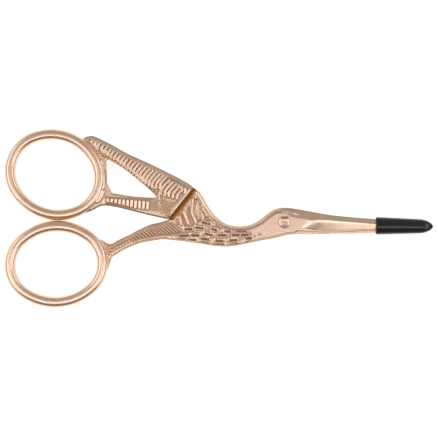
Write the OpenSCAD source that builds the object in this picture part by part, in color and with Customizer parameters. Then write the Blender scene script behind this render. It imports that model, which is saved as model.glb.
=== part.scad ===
// Stork embroidery scissors, lying flat and closed: X runs along the scissors with the tips at +X, Y across the bows,
// Z is the thickness, and Z = 0 is the plane that the back rests on. Millimetres.

/* [Overall] */
// Half of the overall length over bows and tip cap
half_len = 57.95; // [57.9:0.05:58.2]
// Half of the overall width over both finger bows
half_wid = 24.2; // [24.1:0.05:24.6]
// Thickness of bows, wing and tip cap
total_t = 3.6; // [3.6:0.1:4.0]
// Gap between the sliding faces of the two halves
mate_gap = 0.1; // [0.06:0.02:0.16]

/* [Finger bows] */
// Width of the bow's ring seen from above
ring_w = 3.0; // [2.6:0.1:3.2]
// Half length of the upper bow along its ring's centre line
upper_a = 12.25; // [12.0:0.05:12.4]
// Half width of the upper bow along its ring's centre line
upper_b = 10.71; // [10.5:0.01:10.75]
// Tilt of the upper bow's long axis
upper_tilt = -20; // [-24:1:-16]
// Half length of the lower bow along its ring's centre line
lower_a = 12.5; // [12.3:0.05:12.6]
// Half width of the lower bow along its ring's centre line
lower_b = 10.26; // [10.0:0.01:10.3]
// Tilt of the lower bow's long axis
lower_tilt = 4; // [0:1:8]

/* [Pivot] */
// Position of the pivot along X
pivot_x = 17.7; // [17.4:0.1:18.0]
// Position of the pivot along Y
pivot_y = -1.0; // [-1.2:0.1:-0.8]
// Diameter of the screw's head
head_d = 3.2; // [2.8:0.1:3.4]
// Diameter of the screw's shank
shank_d = 2.0; // [1.6:0.1:2.2]
// Radial running clearance of the screw in the front half
run_clear = 0.05; // [0.02:0.01:0.1]
// Width of the driver slot
slot_w = 0.5; // [0.4:0.05:0.7]

/* [Plates] */
// Depth of the body plates below the full thickness, on each face
plate_drop = 0.2; // [0.1:0.05:0.3]
// Width of the chamfer step along the edges
edge_step = 0.4; // [0.2:0.05:0.5]

/* [Tip cap] */
// Length of the cap
cap_len = 15.5; // [15.2:0.1:16.0]
// Height of the cap at its mouth
cap_h = 4.75; // [4.7:0.05:5.0]
// Wall of the cap
cap_wall = 0.32; // [0.25:0.01:0.34]

/* [Hidden] */
$fn = 64;

metal = [0.86, 0.71, 0.58];
metal_rear = [0.80, 0.64, 0.50];
screw_col = [0.90, 0.78, 0.64];
cap_col = [0.09, 0.08, 0.09];

mid = total_t / 2;
front_z0 = mid + mate_gap / 2;
front_z1 = total_t - plate_drop;
rear_z0 = plate_drop;
rear_z1 = mid - mate_gap / 2;

// ---- curves through hand-set points ----
function cr(a, b, c, d, t) =
    0.5 * (2 * b + (c - a) * t + (2 * a - 5 * b + 4 * c - d) * t * t + (3 * b - a - 3 * c + d) * t * t * t);
function spl(q, n) = [
    for (i = [0 : len(q) - 2]) for (k = [0 : n - 1])
        cr(q[max(i - 1, 0)], q[i], q[i + 1], q[min(i + 2, len(q) - 1)], k / n),
    q[len(q) - 1]];
function part(q, a, b) = [for (i = [a : b]) q[i]];
function unit(v) = v / norm(v);
function area2(p) = let (n = len(p)) [for (i = 0, s = 0; i <= n;
    s = s + (i < n ? p[i][0] * p[(i + 1) % n][1] - p[(i + 1) % n][0] * p[i][1] : 0), i = i + 1) s][n];
// the closed outline p moved inwards by d along each corner's normal
function inset(p, d) = let (n = len(p), s = area2(p) > 0 ? 1 : -1) [for (i = [0 : n - 1])
    let (e = unit(p[i] - p[(i + n - 1) % n]), f = unit(p[(i + 1) % n] - p[i]), t = unit(e + f))
        [p[i][0] - s * d * t[1], p[i][1] + s * d * t[0]]];

// ---- outlines, in the plan view ----
// back of the neck and head, from the shoulder to the root of the front blade's spine
neck_top = [[-6.8, 8.3], [-5.4, 7.3], [-4.1, 5.4], [-2.7, 2.9], [-0.8, 0.5], [1.4, -1.2], [3.5, -2.0], [5.8, -2.2],
    [8.0, -1.9], [10.5, -0.8], [12.7, 0.9], [14.6, 2.2], [16.5, 2.8], [18.6, 2.8], [20.8, 2.55], [22.8, 2.2]];
// throat, breast and belly, from the head to the root of the lower leg
belly = [[20.7, -4.3], [18.6, -4.5], [16.5, -5.0], [14.4, -5.5], [11.4, -6.0], [7.7, -6.8], [3.2, -7.6], [-1.0, -7.5],
    [-4.8, -6.9], [-7.8, -6.5], [-10.3, -6.1]];
// underside of the lower leg, down to the corner at the lower bow
leg_under = [[-10.3, -6.1], [-13.7, -5.8], [-15.5, -5.7], [-18.6, -6.2], [-21.2, -6.7], [-25.0, -8.2], [-28.1, -10.0]];
// outer edge of the fillet between the lower leg and the lower bow, ending inside the ring
leg_web = [[-28.7, -10.5], [-29.4, -12.3], [-30.2, -14.2], [-31.2, -16.4], [-32.6, -18.6], [-34.0, -19.0],
    [-33.4, -17.2], [-31.8, -13.2], [-32.0, -9.4], [-33.8, -6.2], [-33.2, -5.2]];
// upper side of the lower leg, from the bow to the root
leg_top = [[-31.6, -5.9], [-29.4, -7.0], [-27.2, -5.9], [-23.8, -4.3], [-22.2, -3.4], [-18.4, -1.7], [-15.6, -1.1],
    [-13.7, -0.4]];
// end of the front head plate at the root of the front blade
head_end = [[22.8, 2.2], [23.4, 0.9], [23.2, -0.5], [22.4, -2.1], [21.3, -3.4], [20.7, -4.3]];

// front blade: spine from root to tip, then the cutting edge back to the root
front_spine = [[22.8, 2.2], [29.5, 1.0], [35.7, 0.3], [42.0, -0.2], [49.0, -0.95], [56.0, -2.15]];
front_edge = [[56.0, -2.28], [49.0, -2.8], [42.0, -3.3], [33.75, -3.7], [27.3, -3.8], [21.4, -3.5]];
// rear blade: cutting edge from root to tip, then the spine back to the root
rear_edge = [[21.2, 1.75], [23.5, 1.5], [29.5, 0.45], [35.7, -0.25], [42.0, -0.7], [49.0, -1.4], [56.0, -2.2]];
rear_spine = [[56.0, -2.33], [49.0, -3.3], [42.0, -3.95], [33.8, -4.2], [27.4, -4.3], [22.8, -4.3]];
// end of the rear head plate at the root of the rear blade
rear_head_end = [[20.8, 2.5], [21.3, 1.6], [22.3, 0.2], [23.2, -1.5], [23.4, -3.0], [22.8, -4.3]];

// wing: upper edge from the upper bow to the shoulder
wing_top = [[-37.6, 20.6], [-36.3, 21.8], [-35.1, 22.2], [-33.9, 22.2], [-32.4, 21.6], [-29.0, 19.9], [-24.7, 17.5],
    [-18.6, 14.7], [-12.1, 11.5], [-8.6, 9.6], [-6.95, 8.45]];
// underside of the upper leg, from the body to the upper bow, ending inside the ring
upper_leg_under = [[-13.85, -0.25], [-17.9, 0.6], [-22.4, 1.7], [-26.6, 2.75], [-30.6, 3.45], [-32.4, 3.1],
    [-34.0, 2.2], [-36.0, 1.4]];
// the frame's line inside the upper ring
upper_inner = [[-36.2, 3.0], [-33.4, 6.0], [-32.2, 10.0], [-32.4, 14.0], [-34.2, 17.6]];
// the three sides of the triangular window between wing and upper leg
win_top = [[-29.9, 16.0], [-25.9, 13.5], [-21.8, 10.3], [-18.6, 7.6], [-17.0, 6.0]];
win_low = [[-17.2, 5.5], [-20.5, 5.65], [-24.4, 6.05], [-28.9, 6.8]];
win_left = [[-30.2, 9.5], [-30.3, 11.9], [-30.5, 15.5]];

neck_c = spl(neck_top, 3);
belly_c = spl(belly, 3);
leg_under_c = spl(leg_under, 3);
leg_web_c = spl(leg_web, 2);
leg_top_c = spl(leg_top, 3);

// front plate: head, neck, body and lower leg down to the ring
front_outline = concat(neck_c, part(spl(head_end, 4), 1, 19), part(belly_c, 0, len(belly_c) - 2), leg_under_c,
    leg_web_c, leg_top_c);
// lower leg through the full thickness, left of the step line
leg_outline = concat(leg_under_c, leg_web_c, leg_top_c);
// rear plate: the same head, neck and body, ending at the step line and inside the wing
rear_outline = concat(part(neck_c, 1, 40), [[20.8, 2.5]], part(spl(rear_head_end, 4), 4, 19), [[22.8, -4.3], [21.8, -4.3]],
    part(belly_c, 0, 27), [[-10.05, -6.13], [-13.4, -0.3], [-14.6, 0.6], [-11.0, 5.6], [-7.8, 8.2]]);
wing_outline = concat(spl(wing_top, 3), spl(upper_leg_under, 3), spl(upper_inner, 2));
window = concat(spl(win_top, 3), spl(win_low, 3), spl(win_left, 2));

// ---- the four-arc oval of a bow ----
upper_r1 = upper_b - 0.91;
lower_r1 = lower_b - 1.26;
function side_r(a, b, r1) = ((a - r1) * (a - r1) + b * b - r1 * r1) / (2 * (b - r1));
function ext_y(a, b, r1, t) = let (r2 = side_r(a, b, r1)) (b - r2) * cos(t) + r2;
function ext_x(a, b, r1, t) = (a - r1) * cos(t) + r1;
upper_cx = -half_len + ring_w / 2 + ext_x(upper_a, upper_b, upper_r1, upper_tilt);
upper_cy = half_wid - ring_w / 2 - ext_y(upper_a, upper_b, upper_r1, upper_tilt);
lower_cx = -half_len + ring_w / 2 + ext_x(lower_a, lower_b, lower_r1, lower_tilt);
lower_cy = -half_wid + ring_w / 2 + ext_y(lower_a, lower_b, lower_r1, lower_tilt);
// rounded section of the ring
function ring_sect(w, t, n) = [for (i = [0 : n - 1]) let (c = cos(360 * (i + 0.5) / n), s = sin(360 * (i + 0.5) / n))
    let (k = cos(180 / n)) [sign(c) * pow(abs(c), 0.85) * w / 2 / pow(k, 0.85), sign(s) * pow(abs(s), 0.85) * t / 2 / pow(cos(180 / n), 0.85)]];
// the ring is four arcs, with a thin collar around each place where two of them meet
collar = 0.03;
module oval_ring(a, b, r1) {
    r2 = side_r(a, b, r1);
    phi = atan2(r2 - b, a - r1);
    sect = ring_sect(ring_w, total_t - 2 * collar, 20);
    for (s = [0, 180]) {
        rotate(s) translate([a - r1, 0, mid]) rotate(-phi) rotate_extrude(angle = 2 * phi, $fn = 96)
            translate([r1, 0]) polygon(sect);
        rotate(s + 90) translate([b - r2, 0, mid]) rotate(phi - 90) rotate_extrude(angle = 180 - 2 * phi, $fn = 96)
            translate([r2, 0]) polygon(sect);
        for (w = [-phi, phi]) rotate(s) translate([a - r1, 0, mid]) rotate(w) translate([r1, 0, 0]) rotate([90, 0, 0])
            linear_extrude(0.5, center = true) polygon(ring_sect(ring_w + 2 * collar, total_t, 20));
    }
}

// a flat piece with stepped edges on one or both faces
module stepped(p, z0, z1, low, high) {
    translate([0, 0, z0 + (low ? edge_step : 0)]) linear_extrude(z1 - z0 - (low ? edge_step : 0) - (high ? edge_step : 0)) polygon(p);
    translate([0, 0, z0]) linear_extrude(z1 - z0) polygon(inset(p, edge_step));
}

// the half-space beyond the plane through p, on the side that n points to
module beyond(p, n) {
    z = unit(n);
    x = unit(cross([0, 1, 0], z));
    y = cross(z, x);
    multmatrix([[x[0], y[0], z[0], p[0]], [x[1], y[1], z[1], p[1]], [x[2], y[2], z[2], p[2]], [0, 0, 0, 1]])
        translate([-60, -60, 0]) cube([120, 120, 20]);
}
function plane_n(a, b, c) = cross(b - a, c - a);

// ---- blades: flat inner face, a ridge, a bevel down to the cutting edge and a slope down to the spine ----
front_e1 = [27.3, -3.9, front_z0 + 0.1];
front_e2 = [42.0, -3.4, front_z0 + 0.1];
front_r1 = [23.3, -0.2, front_z0 + 1.56];
front_r2 = [42.0, -1.55, front_z0 + 0.8];
front_s = [42.0, -0.15, front_z0 + 0.31];
rear_e1 = [23.5, 1.8, rear_z1 - 0.1];
rear_e2 = [42.0, -0.5, rear_z1 - 0.1];
rear_r1 = [23.3, -2.2, rear_z1 - 1.55];
rear_r2 = [42.0, -2.55, rear_z1 - 0.85];
rear_s = [42.0, -3.95, rear_z1 - 0.36];

module front_blade() {
    difference() {
        translate([0, 0, front_z0]) linear_extrude(1.7)
            polygon(concat(spl(front_spine, 4), spl(front_edge, 4), [[19.6, -3.0], [19.6, 1.4]]));
        beyond(front_e1, -plane_n(front_e1, front_r2, front_e2));
        beyond(front_r1, plane_n(front_r1, front_r2, front_s));
    }
}
module rear_blade() {
    difference() {
        translate([0, 0, rear_z1 - 1.6]) linear_extrude(1.6)
            polygon(concat(spl(rear_edge, 4), spl(rear_spine, 4), [[19.6, -3.4], [19.6, 1.0]]));
        beyond(rear_e1, -plane_n(rear_e1, rear_r2, rear_e2));
        beyond(rear_r1, plane_n(rear_r1, rear_r2, rear_s));
    }
}

// ---- the pieces ----
module front_half() {
    color(metal) difference() {
        union() {
            stepped(front_outline, front_z0, front_z1, false, true);
            stepped(leg_outline, plate_drop / 2, front_z1, true, false);
            front_blade();
            translate([lower_cx, lower_cy, 0]) rotate(lower_tilt) oval_ring(lower_a, lower_b, lower_r1);
        }
        translate([pivot_x, pivot_y, -1]) cylinder(d = shank_d + 2 * run_clear, h = total_t + 2);
        translate([pivot_x, pivot_y, front_z0 + 0.7]) cylinder(d = head_d + 2 * run_clear, h = total_t);
    }
}

module rear_half() {
    color(metal_rear) difference() {
        union() {
            stepped(rear_outline, rear_z0, rear_z1, true, false);
            difference() {
                stepped(wing_outline, 0, total_t, true, true);
                translate([0, 0, -1]) linear_extrude(total_t + 2) polygon(window);
            }
            rear_blade();
            translate([upper_cx, upper_cy, 0]) rotate(upper_tilt) oval_ring(upper_a, upper_b, upper_r1);
        }
        translate([pivot_x, pivot_y, -1]) cylinder(d = shank_d, h = total_t + 2);
    }
}

module pivot_screw() {
    color(screw_col) translate([pivot_x, pivot_y, 0]) difference() {
        rotate_extrude() polygon([[0, rear_z0], [shank_d / 2, rear_z0], [shank_d / 2, front_z0 + 0.73],
            [head_d / 2, front_z0 + 0.73], [head_d / 2, total_t - 0.25], [head_d / 2 - 0.25, total_t], [0, total_t]]);
        translate([-head_d, -slot_w / 2, total_t - 0.4]) cube([2 * head_d, slot_w, 1]);
    }
}

// outer half height, half thickness and centre height of the cap at a distance u from its mouth
cap_x0 = half_len - cap_len;
dome = 2.9;
function cap_round(u, l) = u < l - dome ? 1 : sqrt(max(0, 1 - pow((u - l + dome) / dome, 2)));
function cap_hy(u) = cap_h / 2 - 0.5 * u / 13;
function cap_hz(u) = total_t / 2 - 0.3 * u / 13;
function cap_cy(u) = -2.03 - 0.15 * u / 13;
function cap_loop(u, w, l, n) = let (r = cap_round(u, l)) [for (i = [0 : n - 1]) let (a = 360 * i / n, c = cos(a), s = sin(a))
    [cap_x0 + u, cap_cy(u) + sign(c) * pow(abs(c), 0.88) * (cap_hy(u) - w) * r, mid + sign(s) * pow(abs(s), 0.88) * (cap_hz(u) - w) * r]];

module tip_cap() {
    n = 32;
    ou = [0, 2, 4, 6, 8, 10, 12, 12.8, 13.5, 14.1, 14.6, 15.0, 15.3, 15.45];
    iu = [14.9, 14.6, 14.2, 13.6, 12.9, 12.0, 9, 6, 3, 0];
    li = cap_len - 0.4;
    loops = concat([for (u = ou) cap_loop(min(u, cap_len - 0.05), 0, cap_len, n)], [for (u = iu) cap_loop(u, cap_wall, li, n)]);
    m = len(loops);
    mo = len(ou);
    tip = [half_len, cap_cy(cap_len), mid];
    root = [cap_x0 + li, cap_cy(li), mid];
    pts = concat([for (l = loops) for (p = l) p], [tip, root]);
    t = m * n;
    function quad_strip(a, b) = [for (i = [0 : n - 1]) let (j = (i + 1) % n) each [[a * n + i, b * n + i, b * n + j], [a * n + i, b * n + j, a * n + j]]];
    faces = concat(
        [for (k = [0 : mo - 2]) each quad_strip(k, k + 1)],
        [for (i = [0 : n - 1]) [(mo - 1) * n + i, t, (mo - 1) * n + (i + 1) % n]],
        [for (i = [0 : n - 1]) [t + 1, mo * n + i, mo * n + (i + 1) % n]],
        [for (k = [mo : m - 2]) each quad_strip(k, k + 1)],
        quad_strip(m - 1, 0));
    color(cap_col) polyhedron(points = pts, faces = faces, convexity = 4);
}

front_half();
rear_half();
pivot_screw();
tip_cap();
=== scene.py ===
import math

import bpy
import numpy as np
from mathutils import Matrix, Vector


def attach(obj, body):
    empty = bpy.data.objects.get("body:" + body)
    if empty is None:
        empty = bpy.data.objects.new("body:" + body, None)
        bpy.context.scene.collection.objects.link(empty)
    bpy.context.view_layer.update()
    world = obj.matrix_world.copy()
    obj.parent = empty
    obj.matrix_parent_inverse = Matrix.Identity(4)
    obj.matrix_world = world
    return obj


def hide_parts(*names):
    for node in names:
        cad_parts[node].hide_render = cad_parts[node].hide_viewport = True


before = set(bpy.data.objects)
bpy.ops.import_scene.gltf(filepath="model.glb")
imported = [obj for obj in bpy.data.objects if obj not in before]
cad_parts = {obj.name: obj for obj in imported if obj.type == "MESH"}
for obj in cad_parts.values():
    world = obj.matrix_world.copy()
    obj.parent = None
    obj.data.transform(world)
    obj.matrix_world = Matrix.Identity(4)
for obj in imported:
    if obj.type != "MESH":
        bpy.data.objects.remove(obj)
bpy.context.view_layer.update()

# Stork embroidery scissors, lying closed on their back. All shapes are worked out in millimetres in the frame of the
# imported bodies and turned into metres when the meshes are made.
STEP = 0.15      # spacing of the plan grid that the distances are worked out on
MID = 1.8                          # plane between the two halves
GAP = 0.05                         # from that plane to each half's sliding face
TOP = 3.6                          # full thickness
PIVOT = (17.7, -1.0)


# ------------------------------------------------------------------------------------------------ curves and fields
def spl(q, n=8):
    """Catmull-Rom curve through the points q, n steps between two of them."""
    q = np.array(q, float)
    out = []
    for i in range(len(q) - 1):
        a, b, c, d = q[max(i - 1, 0)], q[i], q[i + 1], q[min(i + 2, len(q) - 1)]
        for k in range(n):
            t = k / n
            out.append(0.5 * (2 * b + (c - a) * t + (2 * a - 5 * b + 4 * c - d) * t * t
                              + (3 * b - a - 3 * c + d) * t ** 3))
    out.append(q[-1])
    return np.array(out)


def px(x, y):
    """A point of the plan view, from its place in the 438 x 438 frame."""
    return ((x - 218.9) * 0.27, (218.25 - y) * 0.27)


def seg_dist2(X, Y, a, b):
    abx, aby = b[0] - a[0], b[1] - a[1]
    l2 = abx * abx + aby * aby + 1e-12
    t = np.clip(((X - a[0]) * abx + (Y - a[1]) * aby) / l2, 0, 1)
    dx = X - (a[0] + t * abx)
    dy = Y - (a[1] + t * aby)
    return dx * dx + dy * dy


def line_dist(X, Y, p):
    """Distance to an open run of points."""
    d = np.full(X.shape, 1e9, np.float32)
    for a, b in zip(p[:-1], p[1:]):
        np.minimum(d, seg_dist2(X, Y, a, b), out=d)
    return np.sqrt(d)


def poly_dist(X, Y, p):
    """Signed distance to a closed outline, below zero inside."""
    d = np.full(X.shape, 1e9, np.float32)
    inside = np.zeros(X.shape, bool)
    n = len(p)
    for i in range(n):
        a, b = p[i], p[(i + 1) % n]
        if abs(a[0] - b[0]) + abs(a[1] - b[1]) < 1e-9:
            continue
        np.minimum(d, seg_dist2(X, Y, a, b), out=d)
        if a[1] != b[1]:
            m = (a[1] > Y) != (b[1] > Y)
            inside ^= m & (X < (b[0] - a[0]) * (Y - a[1]) / (b[1] - a[1]) + a[0])
    return np.where(inside, -np.sqrt(d), np.sqrt(d)).astype(np.float32)


def smin(a, b, k):
    h = np.clip(0.5 + 0.5 * (b - a) / k, 0, 1)
    return b + (a - b) * h - k * h * (1 - h)


def smax(a, b, k):
    return -smin(-a, -b, k)


def sstep(a, b, x):
    t = np.clip((x - a) / (b - a), 0, 1)
    return t * t * (3 - 2 * t)


def half_plane(X, Y, a, b):
    """Signed distance to the line through a and b, above zero on its right."""
    dx, dy = b[0] - a[0], b[1] - a[1]
    l = math.hypot(dx, dy)
    return ((X - a[0]) * dy - (Y - a[1]) * dx) / l


def finer(A):
    """The field A on a grid of half the spacing."""
    B = np.empty((A.shape[0] * 2 - 1, A.shape[1]), np.float32)
    B[::2] = A
    B[1::2] = 0.5 * (A[1:] + A[:-1])
    C = np.empty((B.shape[0], A.shape[1] * 2 - 1), np.float32)
    C[:, ::2] = B
    C[:, 1::2] = 0.5 * (B[:, 1:] + B[:, :-1])
    return C


def blur(A, r):
    """Box blur, twice, over r cells each way."""
    for _ in range(2):
        for ax in (0, 1):
            pad = [(0, 0), (0, 0)]
            pad[ax] = (r + 1, r)
            c = np.cumsum(np.pad(A, pad, mode="edge").astype(np.float64), axis=ax)
            n = A.shape[ax]
            hi = np.take(c, np.arange(2 * r + 1, 2 * r + 1 + n), axis=ax)
            lo = np.take(c, np.arange(0, n), axis=ax)
            A = ((hi - lo) / (2 * r + 1)).astype(np.float32)
    return A


class Plan:
    """A grid over the plan view, coarse for distances and twice as fine for relief."""

    def __init__(self, x0, x1, y0, y1, h):
        self.h = h
        self.x0, self.y0 = x0, y0
        self.nx = int(math.ceil((x1 - x0) / h)) + 1
        self.ny = int(math.ceil((y1 - y0) / h)) + 1
        xs = (x0 + h * np.arange(self.nx)).astype(np.float32)
        ys = (y0 + h * np.arange(self.ny)).astype(np.float32)
        self.X, self.Y = np.meshgrid(xs, ys, indexing="ij")
        fx = (x0 + h / 2 * np.arange(2 * self.nx - 1)).astype(np.float32)
        fy = (y0 + h / 2 * np.arange(2 * self.ny - 1)).astype(np.float32)
        self.fx, self.fy = fx, fy
        self.FX, self.FY = np.meshgrid(fx, fy, indexing="ij")

    def poly(self, p):
        return finer(poly_dist(self.X, self.Y, p))

    def line(self, p):
        return finer(line_dist(self.X, self.Y, p))

    def sample(self, A, x, y):
        """The fine field A at any points, as a smooth quadratic blend of the 3 by 3 nearest grid points."""
        u = np.clip((x - self.x0) / (self.h / 2), 1, A.shape[0] - 2.001)
        v = np.clip((y - self.y0) / (self.h / 2), 1, A.shape[1] - 2.001)
        i, j = np.rint(u).astype(np.int32), np.rint(v).astype(np.int32)
        fu, fv = (u - i).astype(np.float32), (v - j).astype(np.float32)
        wu = (0.5 * (0.5 - fu) ** 2, 0.75 - fu * fu, 0.5 * (0.5 + fu) ** 2)
        wv = (0.5 * (0.5 - fv) ** 2, 0.75 - fv * fv, 0.5 * (0.5 + fv) ** 2)
        B = A.ravel()
        at = i * A.shape[1] + j
        out = 0.0
        for a in range(3):
            row = at + (a - 1) * A.shape[1]
            out = out + wu[a] * (wv[0] * B[row - 1] + wv[1] * B[row] + wv[2] * B[row + 1])
        return out


class Relief:
    """Raised and sunk strokes on the fine grid."""

    def __init__(self, plan):
        self.plan = plan
        self.up = np.zeros(plan.FX.shape, np.float32)
        self.down = np.zeros(plan.FX.shape, np.float32)

    def stroke(self, pts, w, h, flat=0.0, bow=1.5):
        """A rounded stroke of half width w along pts: raised by h, or sunk where h is below zero. A low bow makes it
        nearly half round."""
        p = self.plan
        pts = np.array(pts, float)
        s = p.h / 2
        i0 = max(int((pts[:, 0].min() - w - p.x0) / s), 0)
        i1 = min(int((pts[:, 0].max() + w - p.x0) / s) + 2, p.FX.shape[0])
        j0 = max(int((pts[:, 1].min() - w - p.y0) / s), 0)
        j1 = min(int((pts[:, 1].max() + w - p.y0) / s) + 2, p.FX.shape[1])
        if i1 <= i0 or j1 <= j0:
            return
        X, Y = p.FX[i0:i1, j0:j1], p.FY[i0:i1, j0:j1]
        if len(pts) == 1:
            d = np.hypot(X - pts[0, 0], Y - pts[0, 1])
        else:
            d = line_dist(X, Y, pts)
        u = np.clip((d / w - flat) / (1 - flat), 0, 1)
        b = (1 - u * u) ** bow * abs(h)
        if h > 0:
            a = self.up[i0:i1, j0:j1]
            np.maximum(a, b, out=a)
        else:
            a = self.down[i0:i1, j0:j1]
            np.maximum(a, b, out=a)

    def dot(self, x, y, w, h):
        self.stroke([(x, y)], w, h, 0.0, 1.0)


# ------------------------------------------------------------------------------------------------ outlines
neck_top = [(-6.8, 8.3), (-5.4, 7.3), (-4.1, 5.4), (-2.7, 2.9), (-0.8, 0.5), (1.4, -1.2), (3.5, -2.0), (5.8, -2.2),
            (8.0, -1.9), (10.5, -0.8), (12.7, 0.9), (14.6, 2.2), (16.5, 2.8), (18.6, 2.8), (20.8, 2.55), (22.8, 2.2)]
belly = [(20.7, -4.3), (18.6, -4.5), (16.5, -5.0), (14.4, -5.5), (11.4, -6.0), (7.7, -6.8), (3.2, -7.6),
         (-1.0, -7.5), (-4.8, -6.9), (-7.8, -6.5), (-10.3, -6.1)]
leg_under = [(-10.3, -6.1), (-13.7, -5.8), (-15.5, -5.7), (-18.6, -6.2), (-21.2, -6.7), (-25.0, -8.2), (-28.1, -10.0)]
leg_web = [(-28.7, -10.5), (-29.4, -12.3), (-30.2, -14.2), (-31.2, -16.4), (-32.6, -18.6), (-34.0, -19.0),
           (-33.4, -17.2), (-31.8, -13.2), (-32.0, -9.4), (-33.8, -6.2), (-33.2, -5.2)]
leg_top = [(-31.6, -5.9), (-29.4, -7.0), (-27.2, -5.9), (-23.8, -4.3), (-22.2, -3.4), (-18.4, -1.7), (-15.6, -1.1),
           (-13.7, -0.4)]
front_spine = [(22.8, 2.2), (29.5, 1.0), (35.7, 0.3), (42.0, -0.2), (49.0, -0.95), (56.0, -2.15)]
front_edge = [(56.0, -2.28), (49.0, -2.8), (42.0, -3.3), (33.75, -3.7), (27.3, -3.8), (21.4, -3.5)]
rear_edge = [(21.2, 1.75), (23.5, 1.5), (29.5, 0.45), (35.7, -0.25), (42.0, -0.7), (49.0, -1.4), (56.0, -2.2)]
rear_spine = [(56.0, -2.33), (49.0, -3.3), (42.0, -3.95), (33.8, -4.2), (27.4, -4.3), (22.8, -4.3)]
wing_top = [(-37.6, 20.6), (-36.3, 21.8), (-35.1, 22.2), (-33.9, 22.2), (-32.4, 21.6), (-29.0, 19.9), (-24.7, 17.5),
            (-18.6, 14.7), (-12.1, 11.5), (-8.6, 9.6), (-6.95, 8.45)]
upper_leg_under = [(-13.85, -0.25), (-17.9, 0.6), (-22.4, 1.7), (-26.6, 2.75), (-30.6, 3.45), (-32.4, 3.1),
                   (-34.0, 2.2), (-36.0, 1.4)]
upper_inner = [(-36.2, 3.0), (-33.4, 6.0), (-32.2, 10.0), (-32.4, 14.0), (-34.2, 17.6)]
win_top = [(-29.9, 16.0), (-25.9, 13.5), (-21.8, 10.3), (-18.6, 7.6), (-17.0, 6.0)]
win_low = [(-17.2, 5.5), (-20.5, 5.65), (-24.4, 6.05), (-28.9, 6.8)]
win_left = [(-30.2, 9.5), (-30.3, 11.9), (-30.5, 15.5)]

DIAG_A, DIAG_B = (-13.85, -0.25), (-6.95, 8.45)          # the wing's free edge
FRONT_A, FRONT_B = (-13.7, -0.4), (-6.8, 8.3)            # the body's edge beside it
STEP_A, STEP_B = (-13.7, -0.4), (-10.3, -6.1)            # where the lower leg becomes full thickness
STEP_A2, STEP_B2 = (-13.4, -0.3), (-10.05, -6.13)        # and where the rear plate ends


# centre lines of the two bows: ovals of four arcs, centre, half length, half width, end radius and tilt
def oval_field(X, Y, cx, cy, a, b, r1, tilt):
    """Signed distance from the oval centre line, above zero outside."""
    t = math.radians(tilt)
    u = (X - cx) * math.cos(t) + (Y - cy) * math.sin(t)
    v = -(X - cx) * math.sin(t) + (Y - cy) * math.cos(t)
    u, v = np.abs(u), np.abs(v)
    r2 = ((a - r1) ** 2 + b * b - r1 * r1) / (2 * (b - r1))
    e = a - r1                       # centre of the end arc
    k = r2 - b                       # the side arc's centre lies this far below
    side = np.hypot(u, v + k) - r2
    end = np.hypot(u - e, v) - r1
    # the end arc holds where the direction from its centre is flatter than the join
    use_end = (u - e) * k > v * e
    return np.where(use_end, end, side).astype(np.float32)


def ext(a, b, r1, tilt):
    r2 = ((a - r1) ** 2 + b * b - r1 * r1) / (2 * (b - r1))
    c = math.cos(math.radians(tilt))
    return (a - r1) * c + r1, (b - r2) * c + r2


UP = dict(a=12.25, b=10.71, r1=9.8, tilt=-20)
LO = dict(a=12.5, b=10.26, r1=9.0, tilt=4)
ex, ey = ext(**UP)
UP.update(cx=-57.95 + 1.5 + ex, cy=24.2 - 1.5 - ey)
ex, ey = ext(**LO)
LO.update(cx=-57.95 + 1.5 + ex, cy=-24.2 + 1.5 + ey)


def ring_field(dc, z):
    """Field of a bow: a flattened oval section with soft shoulders and a slightly flatter crown."""
    w, h = 1.49, 1.79
    u = np.abs(dc) / w
    v = np.abs(z - MID) / h
    p = 2.6
    q = (u ** p + v ** p) ** (1 / p)
    return (q - 1) * w


# ------------------------------------------------------------------------------------------------ surface of a field
def surface_nets(F, axes):
    inside = F < 0
    c = inside.astype(np.uint8)
    s = sum(c[i:c.shape[0] - 1 + i, j:c.shape[1] - 1 + j, k:c.shape[2] - 1 + k]
            for i in (0, 1) for j in (0, 1) for k in (0, 1))
    act = (s > 0) & (s < 8)
    idx = np.argwhere(act)
    ids = np.full(act.shape, -1, np.int32)
    ids[act] = np.arange(len(idx))
    corner = {o: F[idx[:, 0] + o[0], idx[:, 1] + o[1], idx[:, 2] + o[2]]
              for o in [(i, j, k) for i in (0, 1) for j in (0, 1) for k in (0, 1)]}
    pos = np.zeros((len(idx), 3))
    cnt = np.zeros(len(idx))
    for o, v0 in corner.items():
        for ax in range(3):
            if o[ax] == 0:
                e = list(o)
                e[ax] = 1
                v1 = corner[tuple(e)]
                m = (v0 < 0) != (v1 < 0)
                t = np.where(m, v0 / np.where(m, v0 - v1, 1), 0)
                for d in range(3):
                    pos[:, d] += m * (o[d] + (t if d == ax else 0))
                cnt += m
    pos /= cnt[:, None]
    at = idx + pos
    verts = np.stack([np.interp(at[:, k], np.arange(len(axes[k])), axes[k]) for k in range(3)], 1)
    quads = []
    for ax in range(3):
        a = [slice(None)] * 3
        b = [slice(None)] * 3
        a[ax], b[ax] = slice(0, -1), slice(1, None)
        m = inside[tuple(a)] != inside[tuple(b)]
        e = np.argwhere(m)
        o1, o2 = [(1, 2), (2, 0), (0, 1)][ax]
        e = e[(e[:, o1] > 0) & (e[:, o2] > 0)]
        first = inside[e[:, 0], e[:, 1], e[:, 2]]
        q = []
        for d1, d2 in ((1, 1), (0, 1), (0, 0), (1, 0)):
            g = e.copy()
            g[:, o1] -= d1
            g[:, o2] -= d2
            q.append(ids[g[:, 0], g[:, 1], g[:, 2]])
        q = np.stack(q, 1)
        quads.append(np.where(first[:, None], q, q[:, ::-1]))
    return verts, np.concatenate(quads)


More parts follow.
